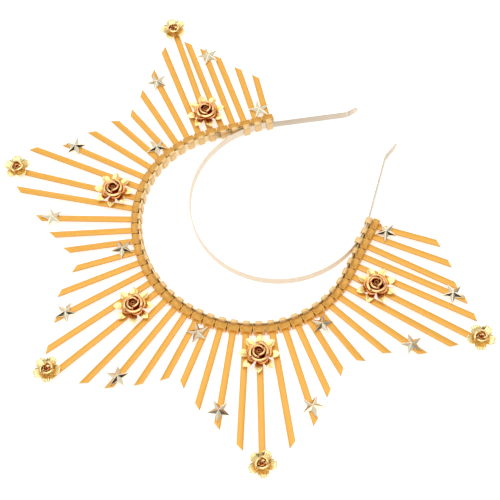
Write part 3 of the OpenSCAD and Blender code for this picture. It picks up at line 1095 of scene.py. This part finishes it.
level = math.cos(ELEVATION)
towards = Vector((math.cos(AZIMUTH) * level, math.sin(AZIMUTH) * level, math.sin(ELEVATION)))
lens = bpy.data.cameras.new("camera")
lens.lens, lens.sensor_width = FOCAL_LENGTH, SENSOR_WIDTH
lens.clip_start, lens.clip_end = 0.01, 50.0
camera = new_object("camera", lens)
upright = towards.to_track_quat("Z", "Y").to_matrix().to_4x4()
rolled = upright @ Matrix.Rotation(ROLL, 4, "Z")
camera.matrix_world = Matrix.Translation(AIM + towards * DISTANCE) @ rolled
bpy.context.scene.camera = camera
print("camera at", [round(c / MM) for c in camera.location], "mm")

# %% [markdown]
# The diadem lies on white. The floor is a sheet a few metres wide, just under the pieces, and it glows so
# that it stays white beneath them. It is staging, so it is marked as backdrop and left out when the
# model's size is measured.

# %% Floor
FLOOR_HALF, FLOOR_GAP = 6.0, 0.05
FLOOR_GREY, FLOOR_GLOW = (0.55, 0.55, 0.55, 1.0), 0.7


def white_floor():
    mesh = bpy.data.meshes.new("floor")
    corners = [(x * FLOOR_HALF, y * FLOOR_HALF, 0) for x, y in ((-1, -1), (1, -1), (1, 1), (-1, 1))]
    mesh.from_pydata(corners, [], [(0, 1, 2, 3)])
    mesh.transform(Matrix.Translation((0, 0, -FLOOR_GAP * MM)))
    floor = new_object("floor", mesh)
    material, _, main = shader("white_table")
    main.inputs["Base Color"].default_value = FLOOR_GREY
    main.inputs["Roughness"].default_value = 0.6
    main.inputs["Specular IOR Level"].default_value = 0.2
    main.inputs["Emission Color"].default_value = (1.0, 1.0, 1.0, 1.0)
    main.inputs["Emission Strength"].default_value = FLOOR_GLOW
    mesh.materials.append(material)
    floor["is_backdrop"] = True
    return floor


floor = white_floor()
print("the floor is", 2 * FLOOR_HALF, "m wide")

# %% [markdown]
# Polished metal only looks like metal when it has something dark to reflect. The sky is therefore a
# white tent with dark patches low down, below the horizon value, and one dark wall, which reaches
# as far as the wall value says. Sharp is how crisp their edges are. The camera sees plain white.

# %% Sky
DARK_WALL = (-0.652, 0.304, 0.695)
TENT_WHITE, TENT_DARK, SEEN_WHITE = (0.86, 0.85, 0.84, 1), (0.05, 0.04, 0.03, 1), (1.1, 1.1, 1.1, 1)
HORIZON, PATCH_SCALE, PATCH_LEVEL, PATCH_DEPTH = 0.55, 2.2, 0.53, 1.6
WALL_REACH, SHARP, SKY_POWER = 0.8, 9.0, 0.93


def studio_sky():
    world = bpy.data.worlds.new("studio")
    bpy.context.scene.world = world
    world.use_nodes = True
    graph = Graph(world.node_tree)
    way = graph.node("ShaderNodeTexCoord", out="Generated")
    height = graph.node("ShaderNodeSeparateXYZ", None, {0: way}, out="Z")
    low = (1.0 - height / HORIZON).clamp()
    clouds = {"Vector": way, "Scale": PATCH_SCALE, "Detail": 1.0}
    patch = ((graph.node("ShaderNodeTexNoise", None, clouds) - PATCH_LEVEL) * SHARP).clamp()
    both = {0: way, 1: DARK_WALL}
    facing = graph.node("ShaderNodeVectorMath", {"operation": "DOT_PRODUCT"}, both, out="Value")
    wall = ((facing - WALL_REACH) * SHARP).clamp()
    dark = (patch * low * PATCH_DEPTH + wall).clamp()
    seen = graph.node("ShaderNodeLightPath", out="Is Camera Ray")
    shade = graph.mix(dark, TENT_WHITE, TENT_DARK)
    back = world.node_tree.nodes["Background"]
    graph.feed(back.inputs["Color"], graph.mix(seen, shade, SEEN_WHITE))
    back.inputs["Strength"].default_value = SKY_POWER


studio_sky()
print("the sky is", bpy.context.scene.world.name, "at", SKY_POWER)

# %% [markdown]
# Three soft square lights add shape. The one overhead does most, the far one lights the rims that
# face away from the camera, and the near one, low on the camera's side, lifts the faces that look
# at it. Each has a place in metres, a side in metres and a power in watts, and aims at the middle.

# %% Lights
SOFTBOXES = {
    "overhead": ((0.1, 0.0, 1.1), 0.9, 4.2),
    "far": ((0.9, -0.5, 0.7), 0.5, 1.5),
    "near": ((-0.85, 0.5, 0.35), 0.6, 1.6),
}

for name, (place, side, power) in SOFTBOXES.items():
    light = bpy.data.lights.new(name, "AREA")
    light.shape, light.size, light.energy = "SQUARE", side, power
    lamp = new_object(name, light)
    aim = (-Vector(place)).to_track_quat("-Z", "Y")
    lamp.matrix_world = Matrix.Translation(place) @ aim.to_matrix().to_4x4()
bpy.context.scene.view_settings.view_transform = "Standard"

# %% [markdown]
# Last, the size of what was made is set against the CAD model's own box. Dressing a model must not
# make it bigger.

# %% Compare the sizes and finish
low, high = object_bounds()
grown_by = [round(max(a - b, c - d) / MM, 2) for a, b, c, d in zip(cad_low, low, high, cad_high)]
print("the dressed model stands out of the CAD box by, in mm:", grown_by)
